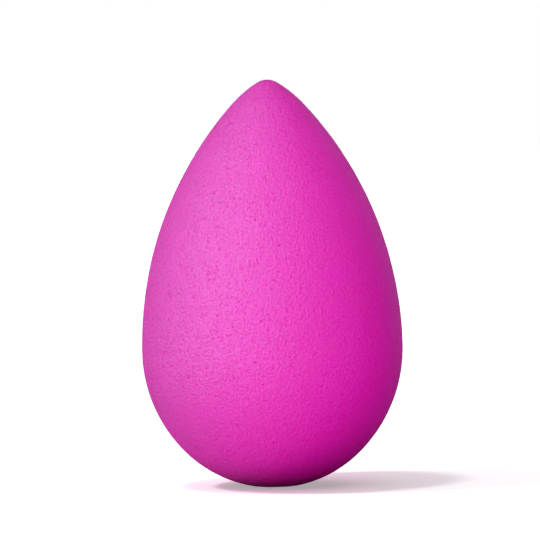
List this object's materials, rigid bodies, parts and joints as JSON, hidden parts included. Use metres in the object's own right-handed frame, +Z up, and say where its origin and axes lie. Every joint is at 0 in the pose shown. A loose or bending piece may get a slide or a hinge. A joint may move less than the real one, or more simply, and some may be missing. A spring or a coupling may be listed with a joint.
{
  "type": "makeup sponge",
  "caption": "Teardrop makeup sponge of soft open-cell foam, with a round base for blending and a small rounded point for close work.",
  "frame": {"origin": "centre of the small flat foot that the sponge stands on", "axes": "+Z up along the axis of the teardrop, from the round base to the point; +X and +Y are free, because the shape is round"},
  "size_m": [0.04, 0.04, 0.0624],
  "materials": {
    "foam": "matte"
  },
  "bodies": {
    "root": {"foam_body": "foam"}
  },
  "joints": []
}
